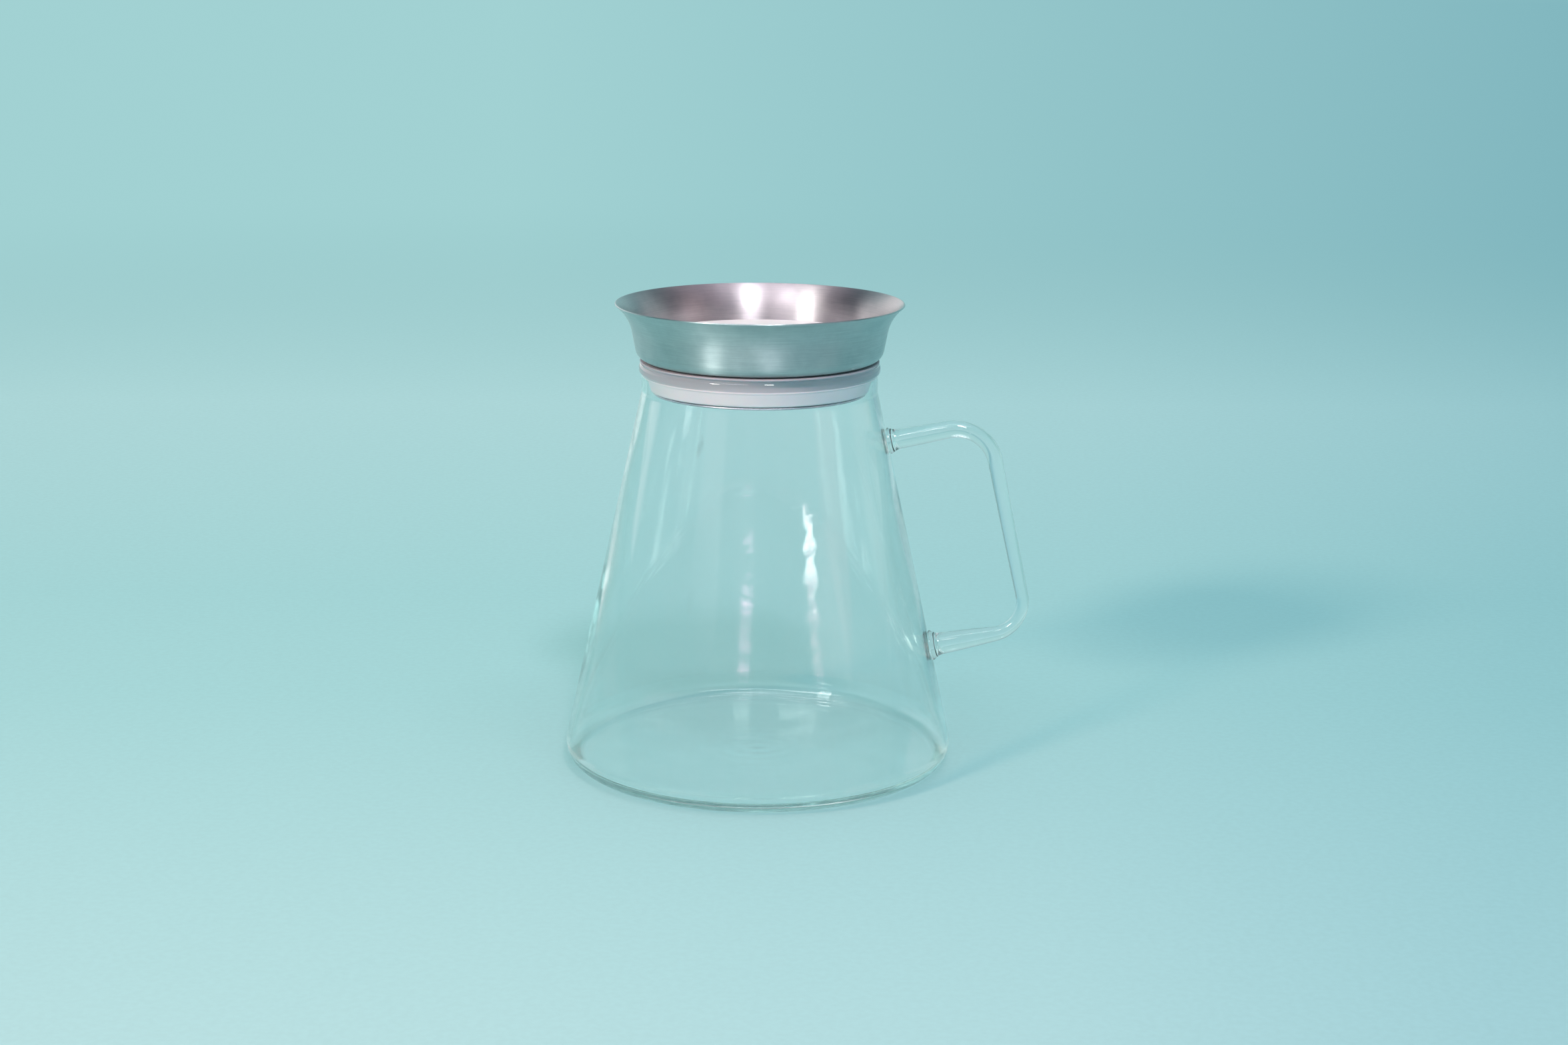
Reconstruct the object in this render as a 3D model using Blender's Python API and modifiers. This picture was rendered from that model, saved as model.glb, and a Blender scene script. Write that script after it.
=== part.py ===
"""Tea server: a conical glass jug with a glass rod handle and a spun steel pouring lid.

Units are metres and +Z is up. The jug's axis is Z, its flat base stands on z = 0 and the
handle points along +X. Every turned piece is an outline of (radius, height, rounding)
corners spun about Z; the lid's pieces hang on an empty at the jug's rim and the strainer on
an empty at the floor of the lid's bowl.
"""

import math

import bmesh
import bpy
from mathutils import Matrix, Vector

# Glass jug
BODY_RADIUS = 0.0724           # where the cone's outside would meet the table
JUG_HEIGHT = 0.1474
NECK_RADIUS = 0.0424           # outside of the straight neck
NECK_LENGTH = 0.0102           # from the rim down to where the cone starts
WALL = 0.0020
BASE_THICKNESS = 0.0036
HEEL_ROUND = 0.0075
INNER_HEEL_ROUND = 0.0026
SHOULDER_ROUND = 0.0060
BEAD_HEIGHT = 0.0028           # fire-polished bead at the rim
BEAD_ROUND = 0.0014
BEAD_PROUD = 0.0009            # how far the bead stands out from the neck

# Glass handle, square to the jug's wall
HANDLE_REACH = 0.0366          # wall to the middle of the grip
HANDLE_SPAN = 0.0773           # middle of the upper arm to middle of the lower arm
HANDLE_DROP = 0.0178           # upper arm's middle below the top of the cone, along the wall
UPPER_BEND = 0.0145
LOWER_BEND = 0.0125
UPPER_ROD_RADIUS = 0.0036      # in the arms
LOWER_ROD_RADIUS = 0.0040
GRIP_TOP_RADIUS = 0.0029       # the grip thins towards its lower end
GRIP_BOTTOM_RADIUS = 0.0022
UPPER_FOOT_RADIUS = 0.0052
LOWER_FOOT_RADIUS = 0.0060
FOOT_LENGTH = 0.0045           # length over which a foot spreads out on the wall

# Steel bowl of the lid
BOWL_HEIGHT = 0.0198           # underside of the floor to the lip's outer edge
BOWL_OVERHANG = 0.0014         # foot of the bowl's wall beyond the neck
LIP_SPREAD = 0.00807           # lip beyond the foot of the bowl's wall
WALL_TAPER = math.radians(10.8)
FLARE_RADIUS = 0.0160
BOWL_ROUND = 0.0042
SHEET = 0.0006

# Steel sleeve that clamps the gasket to the bowl
SLEEVE_SHEET = 0.0008
EYELET_WIDTH = 0.0014          # rolled over the bowl's floor
PLUG_DEPTH = 0.0104            # jug's rim down to the bottom of the sleeve

# Silicone gasket
GASKET_WALL = 0.0030           # at the top, round the sleeve
GASKET_FLANGE_PROUD = 0.0005   # over the jug's rim, beyond the neck
GASKET_FLANGE_THICKNESS = 0.0008
GASKET_TAPER = 0.0011          # how much the wall draws in at its lower end
GASKET_ROUND = 0.0003
GASKET_LOWER_ROUND = 0.0006

# White strainer in the bowl
STRAINER_HEIGHT = 0.0069       # bowl's floor to the top of the plate
STRAINER_PLATE = 0.0018
SKIRT_WALL = 0.0014
STRAINER_ROUND = 0.0005
KNOB_RADIUS = 0.0080
KNOB_STEM_RADIUS = 0.0055
KNOB_HEIGHT = 0.0036
KNOB_HEAD = 0.0020
SLOT_WIDTH = 0.0020
SLOT_LENGTH = 0.0075
SLOT_RIB = 0.0015              # plate left between the two rings of slots
KNOB_TO_SLOTS = 0.0035
INNER_SLOT_COUNT = 12
OUTER_SLOT_COUNT = 24

# Fits
SEAT_GAP = 0.0003              # between pieces that rest on each other
NECK_CLEARANCE = 0.0003        # gasket in the neck
STRAINER_CLEARANCE = 0.0004    # strainer in the bowl and round the sleeve

# Fineness
TURN_STEPS = 64
ROD_STEP = 0.0021              # spacing of the handle's rings
ARC_ERROR = 0.00006            # how far an arc's chords may lie inside it
ROUND_LIMIT = 0.49             # most of a side that one rounding may use
MERGE = 0.00001

# Sizes that several pieces share; the lid's heights are above the jug's rim
CONE_TOP = JUG_HEIGHT - NECK_LENGTH
CONE_ANGLE = math.atan2(BODY_RADIUS - NECK_RADIUS, CONE_TOP)
NECK_BORE = NECK_RADIUS - WALL
FLANGE_BOTTOM = SEAT_GAP
FLANGE_TOP = FLANGE_BOTTOM + GASKET_FLANGE_THICKNESS
BOWL_FLOOR = FLANGE_TOP + SEAT_GAP
BOWL_INSIDE = BOWL_FLOOR + SHEET
SLEEVE_FLANGE_TOP = SLEEVE_SHEET - PLUG_DEPTH
GASKET_BOTTOM = SLEEVE_FLANGE_TOP + SEAT_GAP
GASKET_RADIUS = NECK_BORE - NECK_CLEARANCE
GASKET_FOOT_RADIUS = GASKET_RADIUS - GASKET_TAPER
GASKET_BORE = GASKET_RADIUS - GASKET_WALL
SLEEVE_RADIUS = GASKET_BORE - SEAT_GAP
EYELET_RADIUS = SLEEVE_RADIUS + EYELET_WIDTH
BOWL_FOOT_RADIUS = NECK_RADIUS + BOWL_OVERHANG


for old in list(bpy.data.objects):
    bpy.data.objects.remove(old, do_unlink=True)

parts = bpy.data.collections.new("tea_server")
cutters = bpy.data.collections.new("cutters")
bpy.context.scene.collection.children.link(parts)
bpy.context.scene.collection.children.link(cutters)


def make_material(name, colour, roughness, metallic=0.0, transmission=0.0):
    """A Principled material in one plain colour."""
    material = bpy.data.materials.new(name)
    material.use_nodes = True
    shader = material.node_tree.nodes["Principled BSDF"]
    shader.inputs["Base Color"].default_value = (*colour, 1.0)
    shader.inputs["Roughness"].default_value = roughness
    shader.inputs["Metallic"].default_value = metallic
    shader.inputs["Transmission Weight"].default_value = transmission
    return material


def make_empty(name, location):
    """An empty that places the pieces parented to it."""
    empty = bpy.data.objects.new(name, None)
    empty.empty_display_size = 0.01
    empty.location = location
    parts.objects.link(empty)
    return empty


def add_piece(name, mesh, material, parent=None):
    """One named piece of the object, with its own material."""
    piece = bpy.data.objects.new(name, mesh)
    piece.parent = parent
    mesh.materials.append(material)
    parts.objects.link(piece)
    return piece


def arc_steps(turn, radius):
    """Number of straight steps for an arc that turns this far."""
    return max(2, math.ceil(turn / (2.0 * math.acos(1.0 - ARC_ERROR / radius))))


def rounded(corners):
    """Points of an outline: each (x, y, rounding) corner becomes an arc, if its sides have room."""
    points = []
    for index, (x, y, rounding) in enumerate(corners):
        corner = Vector((x, y))
        if rounding == 0.0:
            points.append(corner)
            continue
        back = Vector(corners[index - 1][:2]) - corner
        ahead = Vector(corners[(index + 1) % len(corners)][:2]) - corner
        turn = math.pi - back.angle(ahead)
        room = ROUND_LIMIT * min(back.length, ahead.length)
        radius = min(rounding, room / math.tan(turn / 2))
        back.normalize()
        ahead.normalize()
        middle = corner + (back + ahead).normalized() * radius / math.cos(turn / 2)
        start = corner + back * radius * math.tan(turn / 2) - middle
        sense = math.copysign(1.0, back.cross(ahead))
        steps = arc_steps(turn, radius)
        for step in range(steps + 1):
            points.append(middle + Matrix.Rotation(-sense * turn * step / steps, 2) @ start)
    return points


def outline_mesh(name, points, closed):
    """The outline as a wire in the XZ plane, ready to be spun."""
    mesh = bpy.data.meshes.new(name)
    edges = [(index, index + 1) for index in range(len(points) - 1)]
    if closed:
        edges.append((len(points) - 1, 0))
    mesh.from_pydata([(point.x, 0.0, point.y) for point in points], edges, [])
    return mesh


def spin(piece):
    """Turn a piece's outline about Z."""
    screw = piece.modifiers.new("Turn", "SCREW")
    screw.steps = TURN_STEPS
    screw.render_steps = TURN_STEPS
    screw.use_merge_vertices = True
    screw.merge_threshold = MERGE


def thicken(piece, thickness):
    """Give a turned sheet its thickness, on the side away from its outside."""
    solidify = piece.modifiers.new("Sheet", "SOLIDIFY")
    solidify.thickness = thickness
    solidify.offset = -1.0
    solidify.use_even_offset = True


def cut(piece, cutter):
    """Take a cutter out of a piece."""
    cutter.hide_render = True
    cutter.display_type = "WIRE"
    boolean = piece.modifiers.new(cutter.name, "BOOLEAN")
    boolean.operation = "DIFFERENCE"
    boolean.object = cutter


def on_wall(out, along):
    """Place in the XZ plane of a point seen from the wall: out from it, and up along it."""
    outward = Vector((math.cos(CONE_ANGLE), math.sin(CONE_ANGLE)))
    upward = Vector((-math.sin(CONE_ANGLE), math.cos(CONE_ANGLE)))
    return Vector((BODY_RADIUS, 0.0)) + outward * out + upward * along


def build_vessel(material):
    """The jug: inside from the floor's middle up to the rim, then down the outside."""
    inner_wall = BODY_RADIUS - WALL / math.cos(CONE_ANGLE)
    inner_heel = inner_wall - BASE_THICKNESS * math.tan(CONE_ANGLE)
    inner_cone_top = (inner_wall - NECK_BORE) / math.tan(CONE_ANGLE)
    bead_outside = NECK_RADIUS + BEAD_PROUD
    bead_bottom = JUG_HEIGHT - BEAD_HEIGHT
    points = rounded([
        (0.0, BASE_THICKNESS, 0.0),
        (inner_heel, BASE_THICKNESS, INNER_HEEL_ROUND),
        (NECK_BORE, inner_cone_top, SHOULDER_ROUND + WALL),
        (NECK_BORE, JUG_HEIGHT, BEAD_ROUND),
        (bead_outside, JUG_HEIGHT, BEAD_ROUND),
        (bead_outside, bead_bottom, BEAD_ROUND),
        (NECK_RADIUS, bead_bottom - BEAD_PROUD, BEAD_ROUND),
        (NECK_RADIUS, CONE_TOP, SHOULDER_ROUND),
        (BODY_RADIUS, 0.0, HEEL_ROUND),
        (0.0, 0.0, 0.0),
    ])
    vessel = add_piece("glass_vessel", outline_mesh("glass_vessel", points, False), material)
    spin(vessel)


def smooth_step(value):
    """0 to 1 with soft ends."""
    value = min(1.0, max(0.0, value))
    return value * value * (3.0 - 2.0 * value)


def rod_radius(out, above_lower_arm):
    """The rod's radius: drawn thin in the grip, thick in the arms, spread at the feet."""
    height = above_lower_arm / HANDLE_SPAN
    if height > 0.5:
        arm, foot = UPPER_ROD_RADIUS, UPPER_FOOT_RADIUS
    else:
        arm, foot = LOWER_ROD_RADIUS, LOWER_FOOT_RADIUS
    grip = GRIP_BOTTOM_RADIUS + (GRIP_TOP_RADIUS - GRIP_BOTTOM_RADIUS) * height
    radius = arm + (grip - arm) * smooth_step(out / HANDLE_REACH)
    spread = min(1.0, max(0.0, 1.0 - out / FOOT_LENGTH))
    return radius + (foot - arm) * spread ** 2


def even_points(points, spacing):
    """Points at about this spacing along a chain of straight lines."""
    result = [points[0]]
    for start, end in zip(points, points[1:]):
        count = max(1, round((end - start).length / spacing))
        result.extend(start.lerp(end, step / count) for step in range(1, count + 1))
    return result


def build_handle(material):
    """The handle: a drawn rod with two square arms, its spread feet shaped to the wall."""
    upper_arm = CONE_TOP / math.cos(CONE_ANGLE) - HANDLE_DROP
    lower_arm = upper_arm - HANDLE_SPAN
    path = even_points(rounded([
        (-WALL, upper_arm, 0.0),
        (HANDLE_REACH, upper_arm, UPPER_BEND),
        (HANDLE_REACH, lower_arm, LOWER_BEND),
        (-WALL, lower_arm, 0.0),
    ]), ROD_STEP)
    curve = bpy.data.curves.new("handle_rod", "CURVE")
    curve.dimensions = "3D"
    curve.bevel_depth = 1.0
    curve.bevel_resolution = 4
    curve.use_fill_caps = True
    spline = curve.splines.new("POLY")
    spline.points.add(len(path) - 1)
    for point, place in zip(spline.points, path):
        spot = on_wall(place.x, place.y)
        point.co = (spot.x, 0.0, spot.y, 1.0)
        point.radius = rod_radius(place.x, place.y - lower_arm)
    rod = bpy.data.objects.new("handle_rod", curve)
    parts.objects.link(rod)
    bpy.context.view_layer.update()
    evaluated = rod.evaluated_get(bpy.context.evaluated_depsgraph_get())
    mesh = bpy.data.meshes.new_from_object(evaluated)
    mesh.name = "handle"
    solid = bmesh.new()
    solid.from_mesh(mesh)
    bmesh.ops.remove_doubles(solid, verts=solid.verts, dist=MERGE)
    solid.to_mesh(mesh)
    solid.free()
    mesh.materials.clear()
    bpy.data.objects.remove(rod, do_unlink=True)
    handle = add_piece("handle", mesh, material)

    beyond = SEAT_GAP / math.cos(CONE_ANGLE)
    points = rounded([
        (0.0, CONE_TOP, 0.0),
        (NECK_RADIUS + beyond, CONE_TOP, 0.0),
        (BODY_RADIUS + beyond, 0.0, 0.0),
        (0.0, 0.0, 0.0),
    ])
    wall = bpy.data.objects.new("wall_cutter", outline_mesh("wall_cutter", points, False))
    cutters.objects.link(wall)
    spin(wall)
    cut(handle, wall)


def bowl_wall_radius(height):
    """Outside radius of the bowl's straight wall at a height above the floor's underside."""
    return BOWL_FOOT_RADIUS + height * math.tan(WALL_TAPER)


def build_bowl(seat, material):
    """The lid's bowl: outside from the flared lip down to the hole in the floor."""
    # The flare is an arc that leaves the straight wall smoothly and ends at the lip.
    beyond_wall = BOWL_FOOT_RADIUS + LIP_SPREAD - bowl_wall_radius(BOWL_HEIGHT)
    flare = math.acos(1.0 - beyond_wall * math.cos(WALL_TAPER) / FLARE_RADIUS)
    lip_lean = WALL_TAPER + flare
    start = BOWL_HEIGHT - FLARE_RADIUS * (math.sin(lip_lean) - math.sin(WALL_TAPER))
    middle = Vector((bowl_wall_radius(start), BOWL_FLOOR + start))
    middle += FLARE_RADIUS * Vector((math.cos(WALL_TAPER), -math.sin(WALL_TAPER)))
    steps = arc_steps(flare, FLARE_RADIUS)
    corners = []
    for step in range(steps, -1, -1):
        lean = WALL_TAPER + flare * step / steps
        place = middle + FLARE_RADIUS * Vector((-math.cos(lean), math.sin(lean)))
        corners.append((place.x, place.y, 0.0))
    corners.append((BOWL_FOOT_RADIUS, BOWL_FLOOR, BOWL_ROUND))
    corners.append((SLEEVE_RADIUS + SEAT_GAP, BOWL_FLOOR, 0.0))
    mesh = outline_mesh("lid_bowl", rounded(corners), False)
    bowl = add_piece("lid_bowl", mesh, material, seat)
    spin(bowl)
    thicken(bowl, SHEET)


def build_sleeve(seat, material):
    """The sleeve: rolled over the bowl's floor, down inside the gasket, out under it."""
    eyelet = BOWL_INSIDE + SEAT_GAP
    points = rounded([
        (EYELET_RADIUS, eyelet, 0.0),
        (SLEEVE_RADIUS, eyelet, 0.0),
        (SLEEVE_RADIUS, SLEEVE_FLANGE_TOP, 0.0),
        (GASKET_FOOT_RADIUS, SLEEVE_FLANGE_TOP, 0.0),
    ])
    sleeve = add_piece("lid_sleeve", outline_mesh("lid_sleeve", points, False), material, seat)
    spin(sleeve)
    thicken(sleeve, SLEEVE_SHEET)


def build_gasket(seat, material):
    """The gasket: a flange on the jug's rim and a wall that draws in down the neck."""
    flange = NECK_RADIUS + GASKET_FLANGE_PROUD
    points = rounded([
        (GASKET_BORE, FLANGE_TOP, 0.0),
        (flange, FLANGE_TOP, GASKET_ROUND),
        (flange, FLANGE_BOTTOM, GASKET_ROUND),
        (GASKET_RADIUS, FLANGE_BOTTOM, 0.0),
        (GASKET_FOOT_RADIUS, GASKET_BOTTOM, GASKET_LOWER_ROUND),
        (GASKET_BORE, GASKET_BOTTOM, 0.0),
    ])
    gasket = add_piece("lid_gasket", outline_mesh("lid_gasket", points, True), material, seat)
    spin(gasket)


def build_strainer(seat, material):
    """The strainer: a slotted plate with a pull knob, on a skirt that stands on the floor."""
    top = STRAINER_HEIGHT
    under = top - STRAINER_PLATE
    edge = bowl_wall_radius(SHEET + under) - SHEET / math.cos(WALL_TAPER) - STRAINER_CLEARANCE
    skirt_bore = EYELET_RADIUS + STRAINER_CLEARANCE
    skirt = skirt_bore + SKIRT_WALL
    head = top + KNOB_HEIGHT - KNOB_HEAD
    points = rounded([
        (0.0, top + KNOB_HEIGHT, 0.0),
        (KNOB_RADIUS, top + KNOB_HEIGHT, KNOB_HEAD),
        (KNOB_RADIUS, head, KNOB_HEAD),
        (KNOB_STEM_RADIUS, head, STRAINER_ROUND),
        (KNOB_STEM_RADIUS, top, STRAINER_ROUND),
        (edge, top, STRAINER_ROUND),
        (edge, under, STRAINER_ROUND),
        (skirt, under, STRAINER_ROUND),
        (skirt, SEAT_GAP, STRAINER_ROUND),
        (skirt_bore, SEAT_GAP, STRAINER_ROUND),
        (skirt_bore, under, STRAINER_ROUND),
        (0.0, under, 0.0),
    ])
    strainer = add_piece("strainer", outline_mesh("strainer", points, False), material, seat)
    spin(strainer)

    slots = bmesh.new()
    inner_ring = KNOB_RADIUS + KNOB_TO_SLOTS
    outer_ring = inner_ring + SLOT_LENGTH + SLOT_RIB
    for start, count in ((inner_ring, INNER_SLOT_COUNT), (outer_ring, OUTER_SLOT_COUNT)):
        for index in range(count):
            turn = Matrix.Rotation(math.tau * (index + 0.5) / count, 4, "Z")
            place = Matrix.Translation((start + SLOT_LENGTH / 2, 0.0, top - STRAINER_PLATE / 2))
            size = Matrix.Diagonal((SLOT_LENGTH, SLOT_WIDTH, STRAINER_PLATE * 2, 1.0))
            bmesh.ops.create_cube(slots, size=1.0, matrix=turn @ place @ size)
    mesh = bpy.data.meshes.new("slot_cutter")
    slots.to_mesh(mesh)
    slots.free()
    slot_cutter = bpy.data.objects.new("slot_cutter", mesh)
    slot_cutter.parent = seat
    cutters.objects.link(slot_cutter)
    cut(strainer, slot_cutter)


build_vessel(make_material("vessel_glass", (0.86, 0.95, 0.95), 0.02, transmission=1.0))
build_handle(make_material("handle_glass", (0.86, 0.95, 0.95), 0.02, transmission=1.0))

lid_seat = make_empty("lid_seat", (0.0, 0.0, JUG_HEIGHT))
build_bowl(lid_seat, make_material("bowl_steel", (0.58, 0.57, 0.58), 0.32, metallic=1.0))
build_sleeve(lid_seat, make_material("sleeve_steel", (0.50, 0.49, 0.51), 0.28, metallic=1.0))
build_gasket(lid_seat, make_material("gasket_silicone", (0.80, 0.80, 0.84), 0.55))

strainer_seat = make_empty("strainer_seat", (0.0, 0.0, BOWL_INSIDE))
strainer_seat.parent = lid_seat
build_strainer(strainer_seat, make_material("strainer_plastic", (0.88, 0.87, 0.89), 0.45))
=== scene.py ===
"""Tea server: a conical glass jug with a rod handle and a spun steel pouring lid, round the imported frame."""

import bmesh
import bpy
import numpy as np
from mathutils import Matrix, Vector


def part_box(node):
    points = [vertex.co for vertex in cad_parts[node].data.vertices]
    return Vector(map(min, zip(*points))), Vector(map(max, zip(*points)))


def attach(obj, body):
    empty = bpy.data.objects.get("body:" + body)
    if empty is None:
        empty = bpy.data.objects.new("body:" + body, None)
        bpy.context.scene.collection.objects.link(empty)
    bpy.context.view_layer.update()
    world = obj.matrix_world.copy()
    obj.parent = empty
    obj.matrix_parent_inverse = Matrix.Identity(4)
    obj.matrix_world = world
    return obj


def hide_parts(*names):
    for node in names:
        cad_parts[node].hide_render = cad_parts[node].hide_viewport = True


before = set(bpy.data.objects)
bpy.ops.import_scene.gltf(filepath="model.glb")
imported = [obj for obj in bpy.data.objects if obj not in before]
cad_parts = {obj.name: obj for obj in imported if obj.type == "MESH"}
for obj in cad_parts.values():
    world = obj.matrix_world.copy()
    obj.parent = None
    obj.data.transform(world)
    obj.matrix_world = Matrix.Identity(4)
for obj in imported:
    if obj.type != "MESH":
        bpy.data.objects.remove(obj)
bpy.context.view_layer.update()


# Camera
# It stands in front of the jug, six degrees towards the handle, and looks down into the lid.
# The lens and the tilt come from the ellipses of the lid's lip, the neck and the base.
FRAME_WIDTH = 2353.0
FOCAL_PIXELS = 3992.0
SENSOR_WIDTH = 36.0
STAND_OFF = 0.9418
EYE_HEIGHT = 0.3056
HANDLE_TURN = np.radians(6.0)
HEADING = np.radians(0.553) - HANDLE_TURN
PITCH = np.radians(12.98)
ROLL = np.radians(0.41)

towards_eye = np.array([np.sin(HANDLE_TURN), -np.cos(HANDLE_TURN), 0.0])
forward = np.array([np.sin(HEADING) * np.cos(PITCH), np.cos(HEADING) * np.cos(PITCH), -np.sin(PITCH)])
level = np.array([np.cos(HEADING), -np.sin(HEADING), 0.0])
upright = np.cross(level, forward)
lens = bpy.data.cameras.new("camera")
lens.sensor_fit = "HORIZONTAL"
lens.sensor_width = SENSOR_WIDTH
lens.lens = SENSOR_WIDTH * FOCAL_PIXELS / FRAME_WIDTH
lens.clip_start = 0.01
camera = bpy.data.objects.new("camera", lens)
pose = np.eye(4)
pose[:3, 0] = np.cos(ROLL) * level + np.sin(ROLL) * upright
pose[:3, 1] = np.cos(ROLL) * upright - np.sin(ROLL) * level
pose[:3, 2] = -forward
pose[:3, 3] = towards_eye * STAND_OFF + [0.0, 0.0, EYE_HEIGHT]
camera.matrix_world = pose.T
bpy.context.scene.collection.objects.link(camera)
bpy.context.scene.camera = camera


# Glass jug
# One blown piece of clear borosilicate glass: a straight cone on a tight heel, a short straight neck and a
# fire-polished bead. Its outside takes the mould's shape; its inside stays a little uneven.
JUG_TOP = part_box("glass_vessel")[1][2]
CONE_FOOT = 0.0724
NECK_OUTSIDE = 0.0424
NECK_LENGTH = 0.0102
GLASS_WALL = 0.0020
GLASS_BASE = 0.0036
HEEL_ROUND = 0.0075
INNER_HEEL_ROUND = 0.0026
SHOULDER_ROUND = 0.0060
INNER_SHOULDER_ROUND = 0.0080
BEAD_PROUD = 0.0009
BEAD_HEIGHT = 0.0028
BEAD_ROUND = 0.0014
BEAD_EDGE = 0.00137            # just under half the bead's height, so that its two arcs stay apart
STANDING_RING = 0.0560
PUSH_UP = 0.0003
JUG_TURNS = 336
WALL_SPACING = 0.0020
UNDERSIDE_SPACING = 0.0080
UNDERSIDE_BELOW = 0.004        # outside, lower than this, the outline takes the wide spacing
CONE_TOP = JUG_TOP - NECK_LENGTH
CONE_LEAN = np.arctan2(CONE_FOOT - NECK_OUTSIDE, CONE_TOP)
NECK_BORE = NECK_OUTSIDE - GLASS_WALL
BEAD_OUTSIDE = NECK_OUTSIDE + BEAD_PROUD
BEAD_FOOT = JUG_TOP - BEAD_HEIGHT


def soft_outline(corners, steps=9):
    """Outline of (radius, height, rounding) corners. An arc that touches both sides replaces each corner;
    its points go evenly from one touching point to the other, in so many steps for all or for each corner."""
    corner = np.array(corners, float)
    steps = np.broadcast_to(steps, len(corner))
    which = np.repeat(np.arange(len(corner)), steps)
    share = (np.arange(len(which)) - (np.cumsum(steps) - steps)[which]) / np.maximum(steps[which] - 1, 1)
    place, rounding = corner[:, :2], corner[:, 2:]
    back = np.roll(place, 1, 0) - place
    ahead = np.roll(place, -1, 0) - place
    back /= np.linalg.norm(back, axis=1, keepdims=True)
    ahead /= np.linalg.norm(ahead, axis=1, keepdims=True)
    half = np.arccos(np.clip((back * ahead).sum(1, keepdims=True), -1.0, 1.0)) / 2.0
    inward = (back + ahead) / np.linalg.norm(back + ahead, axis=1, keepdims=True)
    middle = place + inward * rounding / np.sin(half)
    start = place + back * rounding / np.tan(half) - middle
    end = place + ahead * rounding / np.tan(half) - middle
    sweep = (np.pi - 2.0 * half)[which]
    share = share[:, None]
    arcs = np.sin((1.0 - share) * sweep) * start[which] + np.sin(share * sweep) * end[which]
    points = middle[which] + arcs / np.sin(sweep)
    apart = np.linalg.norm(points - np.roll(points, 1, 0), axis=1) > 1e-8
    return points[apart | (np.arange(len(points)) == 0)]


def spaced(outline, spacing, closed):
    """The same outline with its long sides split into equal steps no longer than the spacing, which is one
    for all or one for each side."""
    ends = np.roll(outline, -1, 0) if closed else np.vstack([outline[1:], outline[-1:]])
    sides = np.linalg.norm(ends - outline, axis=1)
    parts = np.maximum(1, np.ceil(sides / spacing)).astype(int)
    side = np.repeat(np.arange(len(outline)), parts)
    first = np.cumsum(parts) - parts
    share = ((np.arange(parts.sum()) - first[side]) / parts[side])[:, None]
    return outline[side] * (1.0 - share) + ends[side] * share


def skin_mesh(name, grid, marks, closed):
    """A mesh on a grid of points, closed round its first direction and, if asked, round its second.
    Points that fall together at a pole or a tip become one. Marks are a vector kept at every point."""
    index = np.arange(grid.shape[0] * grid.shape[1]).reshape(grid.shape[:2])
    beyond = np.roll(index, -1, 0)
    quads = np.stack([index, np.roll(index, -1, 1), np.roll(beyond, -1, 1), beyond], -1)
    quads = (quads if closed else quads[:, :-1]).reshape(-1, 4)
    mesh = bpy.data.meshes.new(name)
    mesh.vertices.add(index.size)
    mesh.vertices.foreach_set("co", np.ascontiguousarray(grid).ravel())
    mesh.loops.add(quads.size)
    mesh.loops.foreach_set("vertex_index", quads.ravel())
    mesh.polygons.add(len(quads))
    mesh.polygons.foreach_set("loop_start", np.arange(0, quads.size, 4))
    kept = mesh.attributes.new("turned", "FLOAT_VECTOR", "POINT")
    kept.data.foreach_set("vector", np.ascontiguousarray(marks).ravel())
    mesh.update(calc_edges=True)
    joined = bmesh.new()
    joined.from_mesh(mesh)
    bmesh.ops.remove_doubles(joined, verts=joined.verts, dist=2e-6)
    joined.to_mesh(mesh)
    joined.free()
    mesh.polygons.foreach_set("use_smooth", np.ones(len(mesh.polygons), bool))
    return mesh


def turned_mesh(name, outline, turns, closed, swell=0.0, lift=0.0):
    """An outline spun about Z: the point (r, z) at angle a goes to ((r + swell) cos a, (r + swell) sin a,
    z + lift). Its marks are cos a, sin a and the way along the outline, which the brushing follows."""
    angle = np.linspace(0.0, 2.0 * np.pi, turns, endpoint=False)[:, None]
    radius = outline[None, :, 0] + swell
    way = np.cumsum(np.linalg.norm(np.diff(outline, axis=0, prepend=outline[:1]), axis=1))
    places = (radius * np.cos(angle), radius * np.sin(angle), outline[None, :, 1] + lift)
    grid = np.stack(np.broadcast_arrays(*places), -1)
    marks = np.stack(np.broadcast_arrays(np.cos(angle), np.sin(angle), way[None, :]), -1)
    return skin_mesh(name, grid, marks, closed)


def add_piece(mesh, material, body, node):
    """A finished piece that rides on a body and stands for a CAD node, which it hides."""
    piece = bpy.data.objects.new(mesh.name, mesh)
    mesh.materials.append(material)
    bpy.context.scene.collection.objects.link(piece)
    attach(piece, body)
    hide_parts(node)


def soft_step(value, low, high):
    """0 below low, 1 above high, and a smooth S between them."""
    share = np.clip((value - low) / (high - low), 0.0, 1.0)
    return share * share * (3.0 - 2.0 * share)


def blown_swell(angle, height):
    """Unevenness of a blown inside, as a length: two sets of slow slanting waves whose phases bend each
    other."""
    rise = height / 0.1
    slow = np.sin(3.0 * angle + 5.0 * rise + 0.7 * np.sin(2.0 * angle - 3.0 * rise))
    middle = np.sin(7.0 * angle - 9.0 * rise + 0.9 * np.sin(3.0 * angle + 4.0 * rise))
    return 0.00008 * slow + 0.00005 * middle


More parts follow.
